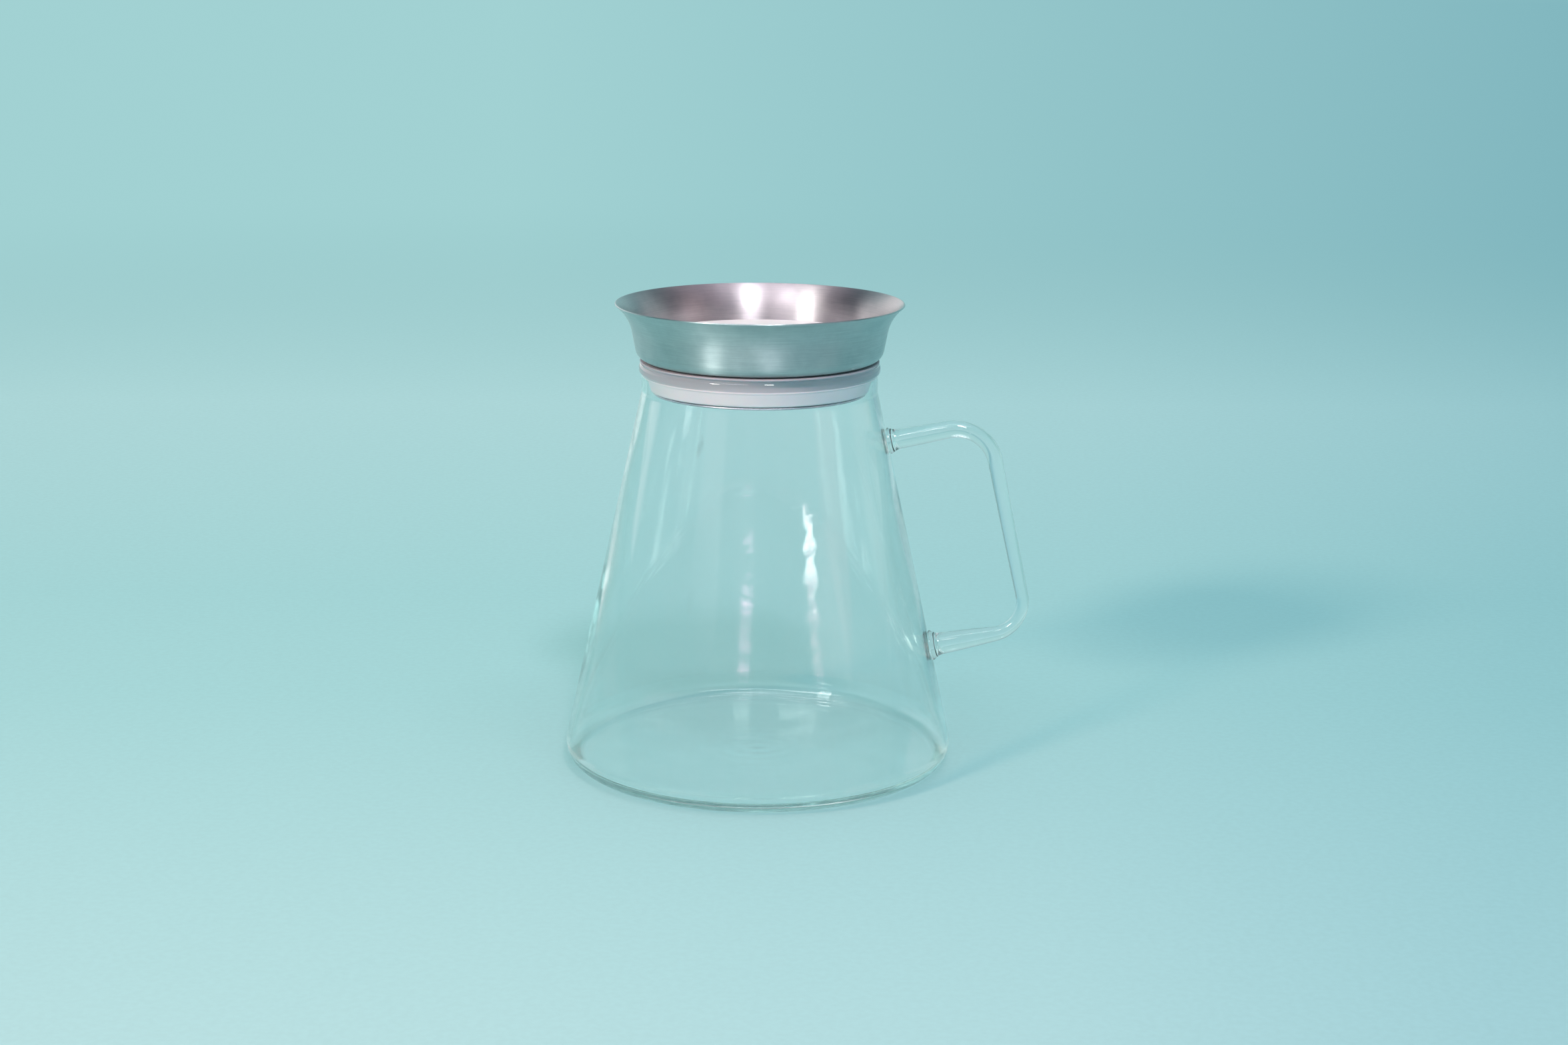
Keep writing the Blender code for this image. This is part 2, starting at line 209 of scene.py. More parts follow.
def cooled_patch(angle, height):
    """Close slanting waves in one patch of the back wall that cooled unevenly: both faces move together, so
    the wall keeps its thickness. They die away from the patch's middle as a bell curve of the angle."""
    patch = np.exp(-((angle - np.radians(76.0)) / np.radians(10.0)) ** 2)
    bent = 0.8 * np.sin(height / 0.0034) + 1.1 * np.sin(height / 0.0071 + 0.5)
    close = np.sin(44.0 * angle + height / 0.0016 + bent) + 0.6 * np.sin(31.0 * angle - height / 0.0027 + 2.0)
    close = close + 0.3 * np.sin(58.0 * angle + height / 0.0011 + 1.5 * bent)
    return 0.000028 * patch * close


def pressed_floor(x, y):
    """Unevenness of the pressed floor: rings about the middle that die away, and two sets of bent waves that
    cross each other, so that no two parts of the floor lean alike."""
    away = np.hypot(x, y)
    rings = 0.000055 * np.cos(2.0 * np.pi * away / 0.0070) * np.exp(-(away / 0.016) ** 2)
    first = np.sin((0.8 * x + 0.6 * y) / 0.0042 + 1.3 * np.sin(y / 0.012 + 0.4))
    second = np.sin((0.9 * y - 0.45 * x) / 0.0055 + 1.7 * np.sin(x / 0.015 + 1.1))
    return rings + 0.00002 * first + 0.000028 * second


inner_foot = CONE_FOOT - GLASS_WALL / np.cos(CONE_LEAN)
jug_sides = soft_outline([
    (0.0, GLASS_BASE, 0.0),
    (inner_foot - GLASS_BASE * np.tan(CONE_LEAN), GLASS_BASE, INNER_HEEL_ROUND),
    (NECK_BORE, (inner_foot - NECK_BORE) / np.tan(CONE_LEAN), INNER_SHOULDER_ROUND),
    (NECK_BORE, JUG_TOP, BEAD_ROUND),
    (BEAD_OUTSIDE, JUG_TOP, BEAD_EDGE),
    (BEAD_OUTSIDE, BEAD_FOOT, BEAD_EDGE),
    (NECK_OUTSIDE, BEAD_FOOT - BEAD_PROUD, BEAD_ROUND),
    (NECK_OUTSIDE, CONE_TOP, SHOULDER_ROUND),
    (CONE_FOOT, 0.0, HEEL_ROUND),
    (0.0, 0.0, 0.0),
], [1, 26, 10, 7, 7, 7, 7, 10, 32, 1])
within = np.arange(len(jug_sides)) < np.argmax(jug_sides[:, 1])
fine = within | (jug_sides[:, 1] > UNDERSIDE_BELOW)
jug_outline = spaced(jug_sides, np.where(fine, WALL_SPACING, UNDERSIDE_SPACING), False)
radius, height = jug_outline.T
inside = np.arange(len(radius)) < np.argmax(height)
around = np.linspace(0.0, 2.0 * np.pi, JUG_TURNS, endpoint=False)[:, None]
free_wall = soft_step(height, 0.010, 0.030) * (1.0 - soft_step(height, 0.112, 0.130))
jug_swell = free_wall * (inside * blown_swell(around, height) + cooled_patch(around, height))
# The floor's waves stop short of the heel, and the underside is pushed up off the table.
floor = inside & (height < GLASS_BASE + 1e-6)
under = ~inside & (height < 1e-6)
calm = floor * (1.0 - soft_step(radius, 0.052, 0.062))
push = PUSH_UP * np.clip(1.0 - (radius / STANDING_RING) ** 2, 0.0, 1.0) ** 2
jug_lift = calm * pressed_floor(radius * np.cos(around), radius * np.sin(around)) + under * push
jug_mesh = turned_mesh("jug", jug_outline, JUG_TURNS, False, jug_swell, jug_lift)


def add_node(tree, kind, inputs=None, **settings):
    """One shader node. Settings are its own properties; inputs are plain values or other nodes' outputs."""
    made = tree.nodes.new("ShaderNode" + kind)
    for name, value in settings.items():
        setattr(made, name, value)
    for name, value in (inputs or {}).items():
        if isinstance(value, bpy.types.NodeSocket):
            tree.links.new(value, made.inputs[name])
        else:
            made.inputs[name].default_value = value
    return made


def add_ramp(tree, factor, stops):
    """A colour ramp through (place, colour) stops."""
    ramp = add_node(tree, "ValToRGB", {"Fac": factor})
    elements = ramp.color_ramp.elements
    while len(elements) < len(stops):
        elements.new(0.5)
    for element, (place, colour) in zip(elements, stops):
        element.position = place
        element.color = (*colour, 1.0)
    return ramp.outputs["Color"]


def reckon(tree, operation, first, second=0.0, third=0.0):
    """The result of one operation on one, two or three values."""
    return add_node(tree, "Math", {0: first, 1: second, 2: third}, operation=operation).outputs[0]


def share_of(tree, value, low, high, start=0.0, end=1.0, kind="LINEAR"):
    """Start where the value is low, end where it is high, and a straight line or a smooth S between them."""
    limits = {"Value": value, "From Min": low, "From Max": high, "To Min": start, "To Max": end}
    return add_node(tree, "MapRange", limits, interpolation_type=kind).outputs["Result"]


def mix_tones(tree, share, first, second, kind="MIX"):
    """Two colours mixed by a share, or multiplied."""
    tones = [tone if isinstance(tone, bpy.types.NodeSocket) else (*tone, 1.0) for tone in (first, second)]
    inputs = {0: share, 6: tones[0], 7: tones[1]}
    return add_node(tree, "Mix", inputs, data_type="RGBA", blend_type=kind).outputs[2]


def noise_of(tree, place, scale, detail, roughness=0.5):
    """Cloudy noise about 0.5."""
    inputs = {"Vector": place, "Scale": scale, "Detail": detail, "Roughness": roughness}
    return add_node(tree, "TexNoise", inputs).outputs["Fac"]


def start_group(name, inputs, outputs):
    """A shader node group with its named sockets, and the nodes that stand for them inside it."""
    tree = bpy.data.node_groups.new(name, "ShaderNodeTree")
    for title, kind, value in inputs:
        socket = tree.interface.new_socket(title, in_out="INPUT", socket_type="NodeSocket" + kind)
        socket.default_value = value
    for title, kind in outputs:
        tree.interface.new_socket(title, in_out="OUTPUT", socket_type="NodeSocket" + kind)
    return tree, tree.nodes.new("NodeGroupInput").outputs, tree.nodes.new("NodeGroupOutput").inputs


def start_material(name):
    """A material with an empty node tree, and its output's surface socket."""
    material = bpy.data.materials.new(name)
    material.use_nodes = True
    material.node_tree.nodes.clear()
    return material, material.node_tree, add_node(material.node_tree, "OutputMaterial").inputs["Surface"]


# Clear glass: faint drawn streaks, a slight change of tint, and wiped patches that are less polished.
glass_skin, given, out = start_group(
    "glass_skin",
    [("Clear", "Color", (1.0, 1.0, 1.0, 1.0)), ("Thick", "Color", (0.9, 0.95, 0.95, 1.0)),
     ("Polish", "Float", 0.0), ("Smear", "Float", 0.03)],
    [("Tint", "Color"), ("Roughness", "Float"), ("Height", "Float")])
place = add_node(glass_skin, "TexCoord").outputs["Object"]
drawn = add_node(glass_skin, "Mapping", {"Vector": place, "Scale": (1.0, 1.0, 0.12)}).outputs["Vector"]
streaks = noise_of(glass_skin, drawn, 160.0, 3.0)
cloud = noise_of(glass_skin, place, 22.0, 6.0, 0.62)
wiped = share_of(glass_skin, cloud, 0.50, 0.74, given["Polish"], given["Smear"])
tint = mix_tones(glass_skin, streaks, given["Clear"], given["Thick"])
glass_skin.links.new(tint, out["Tint"])
glass_skin.links.new(wiped, out["Roughness"])
glass_skin.links.new(streaks, out["Height"])

GLASS_BEND = 1.47
COAT_BEND = 2.0
COAT_ABOVE = 0.012


def glass_material(name, clear, thick, smear, turns):
    """Clear glass. Lamp light goes straight through it, less of it where it meets the skin aslant, and so
    does light that is still caught between its faces after so many turns. Light that has been mirrored,
    or that has come to the back wall above the heel, meets a coat that mirrors more."""
    material, tree, surface = start_material(name)
    skin = add_node(tree, "Group", node_tree=glass_skin)
    skin.inputs["Clear"].default_value = (*clear, 1.0)
    skin.inputs["Thick"].default_value = (*thick, 1.0)
    skin.inputs["Smear"].default_value = smear
    ripple = add_node(tree, "Bump", {"Height": skin.outputs["Height"], "Strength": 0.006, "Distance": 0.0005})
    ray = add_node(tree, "LightPath").outputs
    place = add_node(tree, "TexCoord").outputs["Object"]
    up = add_node(tree, "SeparateXYZ", {"Vector": place}).outputs["Z"]
    above_heel = reckon(tree, "GREATER_THAN", up, COAT_ABOVE)
    past_front = reckon(tree, "GREATER_THAN", ray["Transmission Depth"], 1.5)
    at_back = reckon(tree, "MULTIPLY", above_heel, past_front)
    coat = reckon(tree, "MAXIMUM", ray["Glossy Depth"], at_back)
    coat = reckon(tree, "MINIMUM", coat, 1.0)
    glass = add_node(tree, "BsdfPrincipled", {
        "Base Color": skin.outputs["Tint"], "Roughness": skin.outputs["Roughness"],
        "Normal": ripple.outputs["Normal"], "IOR": GLASS_BEND, "Transmission Weight": 1.0,
        "Coat Weight": coat, "Coat IOR": COAT_BEND})
    aslant = add_node(tree, "LayerWeight", {"Blend": 0.5}).outputs["Facing"]
    passed = add_ramp(tree, aslant, [
        (0.0, (0.98, 0.99, 0.99)), (0.5, (0.96, 0.975, 0.975)), (0.7, (0.82, 0.88, 0.89)),
        (0.85, (0.52, 0.66, 0.68)), (1.0, (0.12, 0.25, 0.27))])
    lighting = reckon(tree, "MAXIMUM", ray["Is Shadow Ray"], ray["Is Diffuse Ray"])
    # Light still caught after so many turns goes through dimmed and tinted: painted shade for the dark lines
    # at the heel and edges.
    dimmed = mix_tones(tree, lighting, (0.80, 0.86, 0.83), passed)
    through = add_node(tree, "BsdfTransparent", {"Color": dimmed})
    trapped = reckon(tree, "GREATER_THAN", ray["Glossy Depth"], turns - 0.5)
    straight = reckon(tree, "MAXIMUM", lighting, trapped)
    both = add_node(tree, "MixShader", {0: straight, 1: glass.outputs[0], 2: through.outputs[0]})
    tree.links.new(both.outputs[0], surface)
    return material


jug_glass = glass_material("jug_glass", (1.0, 1.0, 1.0), (0.945, 0.987, 0.985), smear=0.025, turns=3)
add_piece(jug_mesh, jug_glass, "jug", "glass_vessel")


# Glass handle
# A solid rod of the same glass, drawn thin in the grip, bent to a D and fused to the jug's wall. The arms
# stay thick and each foot spreads where the softened end was pressed on.
ROD_REACH = 0.0366
ROD_SPAN = 0.0773
ROD_DROP = 0.0178
UPPER_BEND, LOWER_BEND = 0.0145, 0.0125
UPPER_ROD, LOWER_ROD = 0.0036, 0.0040
GRIP_TOP, GRIP_BOTTOM = 0.0029, 0.0022
UPPER_FOOT, LOWER_FOOT = 0.0052, 0.0060
FOOT_LENGTH = 0.0045
FOOT_GAP = 0.0003
FOOT_EDGE = 0.0006
FACE_RINGS = 8
EDGE_RINGS = 6
ROD_SPACING = 0.0008
ROD_TURNS = 56
UPPER_ARM_UP = CONE_TOP / np.cos(CONE_LEAN) - ROD_DROP
LOWER_ARM_UP = UPPER_ARM_UP - ROD_SPAN


def rod_radius(out, up):
    """The rod's radius: from thick arms to a thin grip by a smooth S of the way out from the wall, thinning
    evenly down the grip, and spread at the feet by the square of the nearness to the wall."""
    share = (up - LOWER_ARM_UP) / ROD_SPAN
    arm = np.where(share > 0.5, UPPER_ROD, LOWER_ROD)
    foot = np.where(share > 0.5, UPPER_FOOT, LOWER_FOOT)
    grip = GRIP_BOTTOM + (GRIP_TOP - GRIP_BOTTOM) * share
    spread = np.clip(1.0 - (out - FOOT_GAP) / FOOT_LENGTH, 0.0, 1.0) ** 2
    return arm + (grip - arm) * soft_step(out, 0.0, ROD_REACH) + (foot - arm) * spread


def rod_mesh(name, turns):
    """A circle carried along the handle's path, drawn in to a point on each foot's face. The feet are bent
    back to the cone: by the gap between a circle of the wall's radius and its tangent."""
    path = spaced(soft_outline([
        (FOOT_GAP + FOOT_EDGE, UPPER_ARM_UP, 0.0),
        (ROD_REACH, UPPER_ARM_UP, UPPER_BEND),
        (ROD_REACH, LOWER_ARM_UP, LOWER_BEND),
        (FOOT_GAP + FOOT_EDGE, LOWER_ARM_UP, 0.0),
    ], 22), ROD_SPACING, False)
    along = np.gradient(path, axis=0)
    size = rod_radius(*path.T)
    # Each foot's face: a flat disc, then a quarter round up to the rod.
    rings = FACE_RINGS + EDGE_RINGS
    quarter = np.linspace(0.0, np.pi / 2.0, EDGE_RINGS, endpoint=False)
    face_in = np.concatenate([np.linspace(0.0, 1.0, FACE_RINGS, endpoint=False), np.ones(EDGE_RINGS)])
    edge_out = np.concatenate([np.zeros(FACE_RINGS), 1.0 - np.cos(quarter)]) * FOOT_EDGE
    edge_in = np.concatenate([np.zeros(FACE_RINGS), np.sin(quarter)]) * FOOT_EDGE
    ends = []
    for first, sense in ((0, 1.0), (-1, -1.0)):
        spot = np.stack([FOOT_GAP + edge_out, np.full(rings, path[first, 1])], -1)
        ends.append((spot, np.tile([sense, 0.0], (rings, 1)), face_in * (size[first] - FOOT_EDGE) + edge_in))
    path = np.vstack([ends[0][0], path, ends[1][0][::-1]])
    along = np.vstack([ends[0][1], along, ends[1][1]])
    along /= np.linalg.norm(along, axis=1, keepdims=True)
    size = np.concatenate([ends[0][2], size, ends[1][2][::-1]])
    angle = np.linspace(0.0, 2.0 * np.pi, turns, endpoint=False)[:, None]
    out = path[:, 0] - along[:, 1] * size * np.cos(angle)
    up = path[:, 1] + along[:, 0] * size * np.cos(angle)
    side = size * np.sin(angle)
    wall = CONE_FOOT - up * np.sin(CONE_LEAN)
    nearness = np.clip(1.0 - (path[:, 0] - FOOT_GAP) / FOOT_LENGTH, 0.0, 1.0) ** 2
    out = out - nearness * (wall - np.sqrt(wall ** 2 - side ** 2)) * np.cos(CONE_LEAN)
    grid = np.stack([CONE_FOOT + out * np.cos(CONE_LEAN) - up * np.sin(CONE_LEAN), side,
                     out * np.sin(CONE_LEAN) + up * np.cos(CONE_LEAN)], -1)
    way = np.cumsum(np.linalg.norm(np.diff(path, axis=0, prepend=path[:1]), axis=1))
    marks = np.stack(np.broadcast_arrays(np.cos(angle), np.sin(angle), way[None, :]), -1)
    return skin_mesh(name, grid, marks, False)


handle_glass = glass_material("handle_glass", (1.0, 1.0, 1.0), (0.96, 0.982, 0.98), smear=0.015, turns=9)
add_piece(rod_mesh("handle_rod", ROD_TURNS), handle_glass, "jug", "handle")


# Steel bowl of the lid
# Thin stainless sheet spun to a bowl: a flat floor with a hole for the sleeve, a leaning wall and a flared
# lip with a smoothed edge. It is brushed round and round, inside and out.
BOWL_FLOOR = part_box("lid_bowl")[0][2]
BOWL_HEIGHT = 0.0198
BOWL_FOOT = NECK_OUTSIDE + 0.0014
BOWL_ROUND = 0.0042
LIP_SPREAD = 0.00807
BOWL_LEAN = np.radians(10.8)
FLARE_BEND = 0.0160
BOWL_SHEET = 0.0006
SLEEVE_OUTSIDE = 0.0368
FLOOR_HOLE = SLEEVE_OUTSIDE + 0.0006
LID_SPACING = 0.0010
BOWL_TURNS = 256


def sheet_outline(face, thickness):
    """A sheet's closed outline from its outer face: the face, a half round, the face moved inwards by the
    thickness along its normals, and a half round back."""
    sides = np.diff(face, axis=0)
    sides /= np.linalg.norm(sides, axis=1, keepdims=True)
    along = np.vstack([sides[:1], sides[1:] + sides[:-1], sides[-1:]])
    along /= np.linalg.norm(along, axis=1, keepdims=True)
    inward = np.stack([along[:, 1], -along[:, 0]], -1)
    other = face + inward * thickness
    turn = np.linspace(0.0, np.pi, 9)[1:-1, None]
    halves = [(face[end] + other[end]) / 2.0
              + thickness / 2.0 * (np.sin(turn) * sense * along[end] - sense * np.cos(turn) * inward[end])
              for end, sense in ((-1, 1.0), (0, -1.0))]
    return np.vstack([face, halves[0], other[::-1], halves[1]])


# The flare is an arc that leaves the straight wall smoothly and ends at the lip.
straight_lip = BOWL_FOOT + BOWL_HEIGHT * np.tan(BOWL_LEAN)
flare = np.arccos(1.0 - (BOWL_FOOT + LIP_SPREAD - straight_lip) * np.cos(BOWL_LEAN) / FLARE_BEND)
flare_start = BOWL_HEIGHT - FLARE_BEND * (np.sin(BOWL_LEAN + flare) - np.sin(BOWL_LEAN))
flare_middle = np.array([BOWL_FOOT + flare_start * np.tan(BOWL_LEAN), BOWL_FLOOR + flare_start])
flare_middle += FLARE_BEND * np.array([np.cos(BOWL_LEAN), -np.sin(BOWL_LEAN)])
lean = BOWL_LEAN + np.linspace(flare - BOWL_SHEET / 2.0 / FLARE_BEND, 0.0, 26)
flare_face = flare_middle + FLARE_BEND * np.stack([-np.cos(lean), np.sin(lean)], -1)
bowl_face = soft_outline(np.vstack([
    np.column_stack([flare_face, np.zeros(len(lean))]),
    [(BOWL_FOOT, BOWL_FLOOR, BOWL_ROUND), (FLOOR_HOLE, BOWL_FLOOR, 0.0)],
]), 14)
bowl_outline = sheet_outline(spaced(bowl_face, LID_SPACING, False)[:-1], BOWL_SHEET)

# Brushed steel: long scratches round the turn, each with its own shade and gloss, and handling marks.
spun_steel, given, out = start_group(
    "spun_steel",
    [("Light", "Color", (0.66, 0.64, 0.65, 1.0)), ("Dark", "Color", (0.5, 0.48, 0.5, 1.0)),
     ("Gloss", "Float", 0.22), ("Dull", "Float", 0.38)],
    [("Color", "Color"), ("Roughness", "Float"), ("Height", "Float")])
turn = add_node(spun_steel, "Attribute", attribute_name="turned").outputs["Vector"]
wide = add_node(spun_steel, "Mapping", {"Vector": turn, "Scale": (2.2, 2.2, 3000.0)}).outputs["Vector"]
tight = add_node(spun_steel, "Mapping", {"Vector": turn, "Scale": (7.0, 7.0, 8500.0)}).outputs["Vector"]
bands = noise_of(spun_steel, wide, 1.0, 4.0)
lines = noise_of(spun_steel, tight, 1.0, 2.0)
place = add_node(spun_steel, "TexCoord").outputs["Object"]
handled = noise_of(spun_steel, place, 75.0, 6.0, 0.62)
grain = add_node(spun_steel, "Mix", {0: 0.5, 2: bands, 3: lines}).outputs[0]
cloudy = add_node(spun_steel, "Mix", {0: 0.45, 2: grain, 3: handled}).outputs[0]
colour = mix_tones(spun_steel, share_of(spun_steel, cloudy, 0.35, 0.65), given["Dark"], given["Light"])
worn = add_node(spun_steel, "Mix", {0: 0.4, 2: grain, 3: handled}).outputs[0]
gloss = share_of(spun_steel, worn, 0.3, 0.7, given["Gloss"], given["Dull"])
spun_steel.links.new(colour, out["Color"])
spun_steel.links.new(gloss, out["Roughness"])
spun_steel.links.new(lines, out["Height"])


def steel_material(name, light, dark, painted_teal, gloss, dull, bump, stretch):
    """Brushed stainless steel, whose highlights stretch across the brushing. Faces that look outwards are
    given a teal tint, a painted reflection that strengthens the aqua table's image in them."""
    material, tree, surface = start_material(name)
    brushed = add_node(tree, "Group", node_tree=spun_steel)
    brushed.inputs["Light"].default_value = (*light, 1.0)
    brushed.inputs["Dark"].default_value = (*dark, 1.0)
    brushed.inputs["Gloss"].default_value = gloss
    brushed.inputs["Dull"].default_value = dull
    place = add_node(tree, "TexCoord").outputs
    flat = add_node(tree, "VectorMath", {0: place["Object"], 1: (1.0, 1.0, 0.0)}, operation="MULTIPLY")
    away = add_node(tree, "VectorMath", {0: flat.outputs[0], 1: place["Normal"]}, operation="DOT_PRODUCT")
    # Painted reflection: faces that look outwards are tinted teal, like the aqua table they mirror.
    outward = share_of(tree, away.outputs["Value"], -0.002, 0.002)
    teal_reflection = mix_tones(tree, outward, (1.0, 1.0, 1.0), painted_teal)
    tone = mix_tones(tree, 1.0, brushed.outputs["Color"], teal_reflection, "MULTIPLY")
    scratched = {"Height": brushed.outputs["Height"], "Strength": bump, "Distance": 0.00005}
    scratch = add_node(tree, "Bump", scratched).outputs["Normal"]
    round_turn = add_node(tree, "Tangent", direction_type="RADIAL", axis="Z").outputs["Tangent"]
    steel = add_node(tree, "BsdfPrincipled", {
        "Base Color": tone, "Roughness": brushed.outputs["Roughness"], "Metallic": 1.0,
        "Anisotropic": stretch, "Anisotropic Rotation": 0.25, "Tangent": round_turn, "Normal": scratch})
    tree.links.new(steel.outputs[0], surface)
    return material


bowl_steel = steel_material(
    "bowl_steel", light=(0.64, 0.60, 0.61), dark=(0.42, 0.41, 0.43), painted_teal=(0.90, 1.12, 1.10),
    gloss=0.31, dull=0.46, bump=0.25, stretch=0.93)
bowl_mesh = turned_mesh("lid_bowl_spun", bowl_outline, BOWL_TURNS, True)
add_piece(bowl_mesh, bowl_steel, "lid", "lid_bowl")


# Silicone gasket
# A white ring moulded in soft silicone: its flange lies on the jug's rim under the bowl, and its wall is
# pressed to the glass at the top and draws in going down. It is squeezed between the bowl and the sleeve.
SEAT_GAP = 0.0003
GASKET_LOW, GASKET_HIGH = (corner[2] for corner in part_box("lid_gasket"))
FLANGE_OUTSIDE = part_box("lid_gasket")[1][0]
FLANGE_UNDER = JUG_TOP + SEAT_GAP
FLANGE_ROUND = 0.00038
GASKET_PRESSED = NECK_BORE + 0.00004
GASKET_OUTSIDE = NECK_BORE - SEAT_GAP
GASKET_FOOT = GASKET_OUTSIDE - 0.0011
GASKET_BORE = SLEEVE_OUTSIDE + SEAT_GAP
PRESSED_DOWN_TO = JUG_TOP - 0.0042
FREE_FROM = JUG_TOP - 0.0048
# Above this height the gasket is painted a bluish grey: painted shade under the bowl's overhang.
PAINTED_SHADE_ABOVE = JUG_TOP - 0.0034
RING_TURNS = 224

gasket_outline = spaced(soft_outline([
    (GASKET_BORE, GASKET_HIGH, 0.0002),
    (FLANGE_OUTSIDE, GASKET_HIGH, FLANGE_ROUND),
    (FLANGE_OUTSIDE, FLANGE_UNDER, FLANGE_ROUND),
    (GASKET_PRESSED, FLANGE_UNDER, 0.0005),
    (GASKET_PRESSED, PRESSED_DOWN_TO, 0.0004),
    (GASKET_OUTSIDE, FREE_FROM, 0.0004),
    (GASKET_FOOT, GASKET_LOW, 0.0007),
    (GASKET_BORE, GASKET_LOW, 0.0002),
]), LID_SPACING, True)

# Moulded skin: faint mottling, a fine tooth from the mould, and a few specks of dust.
moulded_skin, given, out = start_group(
    "moulded_skin",
    [("Light", "Color", (0.85, 0.85, 0.85, 1.0)), ("Shade", "Color", (0.75, 0.75, 0.75, 1.0)),
     ("Dust", "Color", (0.3, 0.28, 0.27, 1.0)), ("Gloss", "Float", 0.35), ("Dull", "Float", 0.55)],
    [("Color", "Color"), ("Roughness", "Float"), ("Height", "Float")])
place = add_node(moulded_skin, "TexCoord").outputs["Object"]
mottle = noise_of(moulded_skin, place, 70.0, 5.0)
tooth = noise_of(moulded_skin, place, 2600.0, 2.0)
cells = add_node(moulded_skin, "TexVoronoi", {"Vector": place, "Scale": 150.0, "Randomness": 1.0})
near = reckon(moulded_skin, "LESS_THAN", cells.outputs["Distance"], 0.035)
few = add_node(moulded_skin, "SeparateColor", {"Color": cells.outputs["Color"]}).outputs["Red"]
speck = reckon(moulded_skin, "MULTIPLY", near, reckon(moulded_skin, "GREATER_THAN", few, 0.90))
body = mix_tones(moulded_skin, mottle, given["Shade"], given["Light"])
dusty = mix_tones(moulded_skin, speck, body, given["Dust"])
gloss = share_of(moulded_skin, mottle, 0.35, 0.65, given["Gloss"], given["Dull"])
moulded_skin.links.new(dusty, out["Color"])
moulded_skin.links.new(gloss, out["Roughness"])
moulded_skin.links.new(tooth, out["Height"])


def moulded_material(name, light, shade, gloss, dull, bump, depth, shade_above):
    """A moulded soft or hard plastic that lets a little light into itself. Above the given height it is
    painted
    a bluish grey: painted shade that deepens the shadow of the bowl's overhang."""
    material, tree, surface = start_material(name)
    skin = add_node(tree, "Group", node_tree=moulded_skin)
    skin.inputs["Light"].default_value = (*light, 1.0)
    skin.inputs["Shade"].default_value = (*shade, 1.0)
    skin.inputs["Gloss"].default_value = gloss
    skin.inputs["Dull"].default_value = dull
    place = add_node(tree, "TexCoord").outputs["Object"]
    up = add_node(tree, "SeparateXYZ", {"Vector": place}).outputs["Z"]
    # Painted shade: a bluish grey band at the gasket's top, deepening the shadow under the bowl's overhang.
    in_shade = share_of(tree, up, shade_above - 0.0005, shade_above + 0.0003, kind="SMOOTHSTEP")
    painted_shade = add_ramp(tree, in_shade, [(0.0, (1.0, 1.0, 1.0)), (1.0, (0.52, 0.56, 0.59))])
    tone = mix_tones(tree, 1.0, skin.outputs["Color"], painted_shade, "MULTIPLY")
    tooth = add_node(tree, "Bump", {"Height": skin.outputs["Height"], "Strength": bump, "Distance": 0.00004})
    plastic = add_node(tree, "BsdfPrincipled", {
        "Base Color": tone, "Roughness": skin.outputs["Roughness"], "Normal": tooth.outputs["Normal"],
        "Subsurface Weight": depth, "Subsurface Scale": 0.0008, "IOR": 1.43})
    tree.links.new(plastic.outputs[0], surface)
    return material


gasket_silicone = moulded_material(
    "gasket_silicone", light=(0.91, 0.84, 0.90), shade=(0.84, 0.77, 0.83), gloss=0.38, dull=0.55,
    bump=0.2, depth=0.2, shade_above=PAINTED_SHADE_ABOVE)
gasket_mesh = turned_mesh("lid_gasket_ring", gasket_outline, RING_TURNS, True)
add_piece(gasket_mesh, gasket_silicone, "lid", "lid_gasket")


# Steel sleeve
# A short stainless tube through the gasket: its upper edge is rolled over the bowl's floor like an eyelet,
# and its lower edge is turned out under the gasket, where it shows as a thin line through the neck.
SLEEVE_SHEET = 0.0008
SLEEVE_BEND = 0.0003
EYELET_UP = BOWL_FLOOR + BOWL_SHEET + SEAT_GAP
EYELET_OUTSIDE = SLEEVE_OUTSIDE + 0.0014
SLEEVE_FLANGE_TOP = GASKET_LOW - SEAT_GAP

sleeve_face = soft_outline([
    (EYELET_OUTSIDE - SLEEVE_SHEET / 2.0, EYELET_UP, 0.0),
    (SLEEVE_OUTSIDE, EYELET_UP, SLEEVE_BEND),
    (SLEEVE_OUTSIDE, SLEEVE_FLANGE_TOP, SLEEVE_BEND),
    (GASKET_FOOT - SLEEVE_SHEET / 2.0, SLEEVE_FLANGE_TOP, 0.0),
])
sleeve_outline = sheet_outline(spaced(sleeve_face, LID_SPACING, False)[:-1], SLEEVE_SHEET)
sleeve_steel = steel_material(
    "sleeve_steel", light=(0.74, 0.68, 0.74), dark=(0.55, 0.50, 0.55), painted_teal=(1.0, 1.0, 1.0),
    gloss=0.2, dull=0.34, bump=0.2, stretch=0.5)
sleeve_mesh = turned_mesh("lid_sleeve_tube", sleeve_outline, RING_TURNS, True)
add_piece(sleeve_mesh, sleeve_steel, "lid", "lid_sleeve")


# Strainer
# A white moulded plate that lifts out of the bowl by a low knob. It stands on a short skirt and holds the
# leaves back with two rings of slots. It has none of the gasket's painted shade.
NO_PAINTED_SHADE = 1.0
strainer_plastic = moulded_material(
    "strainer_plastic", light=(0.93, 0.92, 0.93), shade=(0.87, 0.86, 0.88), gloss=0.35, dull=0.5,
    bump=0.15, depth=0.1, shade_above=NO_PAINTED_SHADE)
for material_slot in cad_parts["strainer"].material_slots:
    material_slot.material = strainer_plastic


